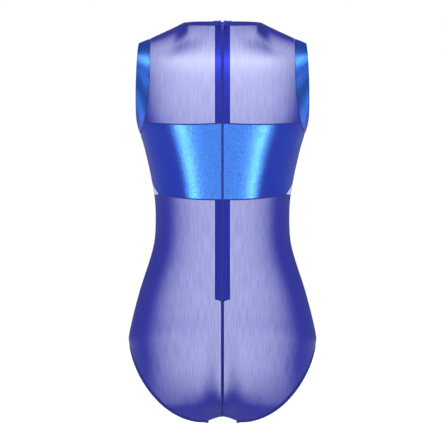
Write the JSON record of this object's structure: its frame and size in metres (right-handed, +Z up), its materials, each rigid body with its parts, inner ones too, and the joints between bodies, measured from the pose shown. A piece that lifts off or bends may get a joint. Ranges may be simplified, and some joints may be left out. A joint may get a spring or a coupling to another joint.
{
  "type": "gymnastics leotard",
  "caption": "Sleeveless sheer-mesh leotard with metallic chest band and armhole bindings, opened by a centre-back zip.",
  "frame": {"origin": "centre of the waist, on the side seams' plane", "axes": "+Z up the wearer, +Y the way the wearer faces, so the zipped back faces -Y and +X is the wearer's right"},
  "size_m": [0.3094, 0.2278, 0.6603],
  "materials": {
    "sheer_mesh": "sheer stretch mesh, royal blue",
    "foil_fabric": "wet-look foiled stretch fabric",
    "binding_tape": "folded mesh binding",
    "zip_tape": "woven polyester tape",
    "zip_nylon": "nylon coil",
    "zip_metal": "enamelled zinc",
    "elastic": "clear elastic",
    "seam_thread": "overlocked seam"
  },
  "bodies": {
    "garment": {"back_yoke_left": "sheer_mesh", "back_yoke_right": "sheer_mesh", "lower_back_left": "sheer_mesh", "lower_back_right": "sheer_mesh", "side_wedge_left": "sheer_mesh", "side_wedge_right": "sheer_mesh", "front_yoke": "sheer_mesh", "front_body": "sheer_mesh", "crotch_gusset": "sheer_mesh", "back_band_left": "foil_fabric", "back_band_right": "foil_fabric", "armhole_binding_left": "foil_fabric", "armhole_binding_right": "foil_fabric", "front_band": "foil_fabric", "leg_hem_left": "binding_tape", "leg_hem_right": "binding_tape", "neck_binding": "binding_tape", "leg_elastic_left": "elastic", "leg_elastic_right": "elastic", "side_seam_left": "seam_thread", "side_seam_right": "seam_thread", "shoulder_seam_left": "seam_thread", "shoulder_seam_right": "seam_thread", "centre_back_seam": "seam_thread", "zip_bottom_stop": "zip_nylon"},
    "slider": {"zip_slider": "zip_metal"},
    "puller": {"zip_puller": "zip_metal"},
    "flap_left": {"back_yoke_flap_left": "sheer_mesh", "back_band_flap_left": "foil_fabric", "lower_back_flap_left": "sheer_mesh", "neck_binding_flap_left": "binding_tape", "zip_tape_left": "zip_tape", "zip_coil_left": "zip_nylon", "zip_top_stop_left": "zip_nylon"},
    "flap_right": {"back_yoke_flap_right": "sheer_mesh", "back_band_flap_right": "foil_fabric", "lower_back_flap_right": "sheer_mesh", "neck_binding_flap_right": "binding_tape", "zip_tape_right": "zip_tape", "zip_coil_right": "zip_nylon", "zip_top_stop_right": "zip_nylon"}
  },
  "joints": [
    {"name": "slider_travel", "type": "slide", "parent": "garment", "child": "slider", "axis": [0, -0.0612, -0.9981], "range_m": [0, 0.435]},
    {"name": "flap_left_fold", "type": "hinge", "parent": "garment", "child": "flap_left", "pos_m": [0, -0.10004, -0.13114], "axis": [0.0878, -0.061, -0.9943], "range_deg": [0, 100], "deforming": ["zip_tape_left", "zip_coil_left"]},
    {"name": "flap_right_fold", "type": "hinge", "parent": "garment", "child": "flap_right", "pos_m": [0, -0.10004, -0.13114], "axis": [0.0878, 0.061, 0.9943], "range_deg": [0, 100], "deforming": ["zip_tape_right", "zip_coil_right"]},
    {"name": "puller_flip", "type": "hinge", "parent": "slider", "child": "puller", "pos_m": [0, -0.07565, 0.319], "axis": [-1, 0, 0], "range_deg": [0, 165]}
  ],
  "couplings": [
    {"joint": "flap_left_fold", "follows": "slider_travel", "rad_per_m": 4.01},
    {"joint": "flap_right_fold", "follows": "slider_travel", "rad_per_m": 4.01}
  ]
}
